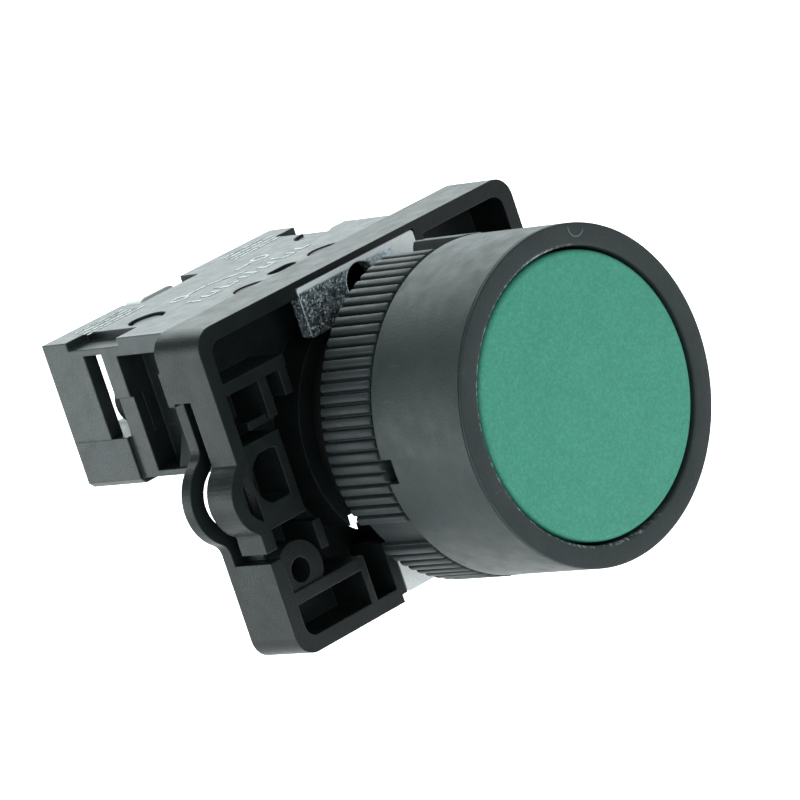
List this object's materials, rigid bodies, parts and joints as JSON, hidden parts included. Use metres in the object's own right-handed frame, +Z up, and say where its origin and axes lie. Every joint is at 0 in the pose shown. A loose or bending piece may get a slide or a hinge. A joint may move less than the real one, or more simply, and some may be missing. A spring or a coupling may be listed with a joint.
{
  "type": "industrial push button",
  "caption": "Flush panel push button with a round bezel, threaded tail, ribbed ring nut, rectangular mounting base and a screw-terminal contact block.",
  "frame": {"origin": "on the button's axis at the plane where the bezel seats on the panel", "axes": "+Y from the pressed face back through the panel, +Z up towards the contact block's printed side, X across the base"},
  "size_m": [0.0424, 0.0523, 0.03],
  "materials": {
    "bezel_plastic": "fine satin moulding with faint scratches",
    "green_plastic": "matte, fine grain",
    "grey_acetal": "smooth moulding",
    "black_rubber": "soft matte",
    "zinc_steel": "zinc plated, mottled",
    "spring_steel": "bright drawn wire",
    "nut_plastic": "slightly shiny moulding",
    "base_plastic": "grainy moulding",
    "block_plastic": "dusty satin moulding with a white print",
    "cover_plastic": "satin moulding",
    "copper_rivet": "coppery, dull",
    "white_plastic": "translucent white moulding",
    "contact_brass": "stamped strip",
    "contact_silver": "silver alloy",
    "screw_steel": "zinc plated"
  },
  "bodies": {
    "housing": {"bezel_body": "bezel_plastic", "stem_seal": "black_rubber", "spring_seat_washer": "zinc_steel", "return_spring": "spring_steel", "panel_gasket": "black_rubber", "locking_plate": "zinc_steel", "base_body": "base_plastic", "contact_housing": "block_plastic", "contact_cover": "cover_plastic", "cover_rivets": "copper_rivet", "plunger_spring": "spring_steel", "fixed_contact_left": "contact_brass", "fixed_contact_right": "contact_brass", "fixed_tips": "contact_silver"},
    "button": {"button_cap": "green_plastic", "pusher_stem": "grey_acetal", "pusher_foot": "base_plastic"},
    "nut": {"ring_nut": "nut_plastic"},
    "plunger": {"contact_plunger": "white_plastic", "bridge_spring": "spring_steel"},
    "bridge": {"contact_bridge": "contact_brass", "bridge_tips": "contact_silver"},
    "saddle_left": {"clamp_saddle_left": "screw_steel"},
    "saddle_right": {"clamp_saddle_right": "screw_steel"},
    "screw_left": {"terminal_screw_left": "screw_steel"},
    "screw_right": {"terminal_screw_right": "screw_steel"}
  },
  "joints": [
    {"name": "button_press", "type": "slide", "parent": "housing", "child": "button", "axis": [0, 1, 0], "range_m": [0, 0.005], "stiffness_N_per_m": 700, "springref_m": -0.004, "deforming": ["return_spring"]},
    {"name": "plunger_slide", "type": "slide", "parent": "housing", "child": "plunger", "axis": [0, 1, 0], "range_m": [0, 0.005], "stiffness_N_per_m": 250, "springref_m": -0.003, "deforming": ["plunger_spring"]},
    {"name": "bridge_slide", "type": "slide", "parent": "housing", "child": "bridge", "axis": [0, 1, 0], "range_m": [0, 0.00295], "deforming": ["bridge_spring"]},
    {"name": "nut_turn", "type": "hinge", "parent": "housing", "child": "nut", "pos_m": [0, 0.003, 0], "axis": [0, 1, 0], "continuous": true},
    {"name": "saddle_left_slide", "type": "slide", "parent": "housing", "child": "saddle_left", "axis": [0, 1, 0], "range_m": [0, 0.0015]},
    {"name": "screw_left_turn", "type": "hinge", "parent": "saddle_left", "child": "screw_left", "pos_m": [-0.0106, 0.033, 0.0071], "axis": [0, 1, 0], "range_deg": [0, 900]},
    {"name": "saddle_right_slide", "type": "slide", "parent": "housing", "child": "saddle_right", "axis": [0, 1, 0], "range_m": [0, 0.0015]},
    {"name": "screw_right_turn", "type": "hinge", "parent": "saddle_right", "child": "screw_right", "pos_m": [0.0106, 0.033, 0.0071], "axis": [0, 1, 0], "range_deg": [0, 900]}
  ],
  "couplings": [
    {"joint": "plunger_slide", "follows": "button_press", "ratio": 1},
    {"joint": "bridge_slide", "follows": "button_press", "ratio": 0.59},
    {"joint": "screw_left_turn", "follows": "saddle_left_slide", "rad_per_m": 10472},
    {"joint": "screw_right_turn", "follows": "saddle_right_slide", "rad_per_m": 10472}
  ]
}
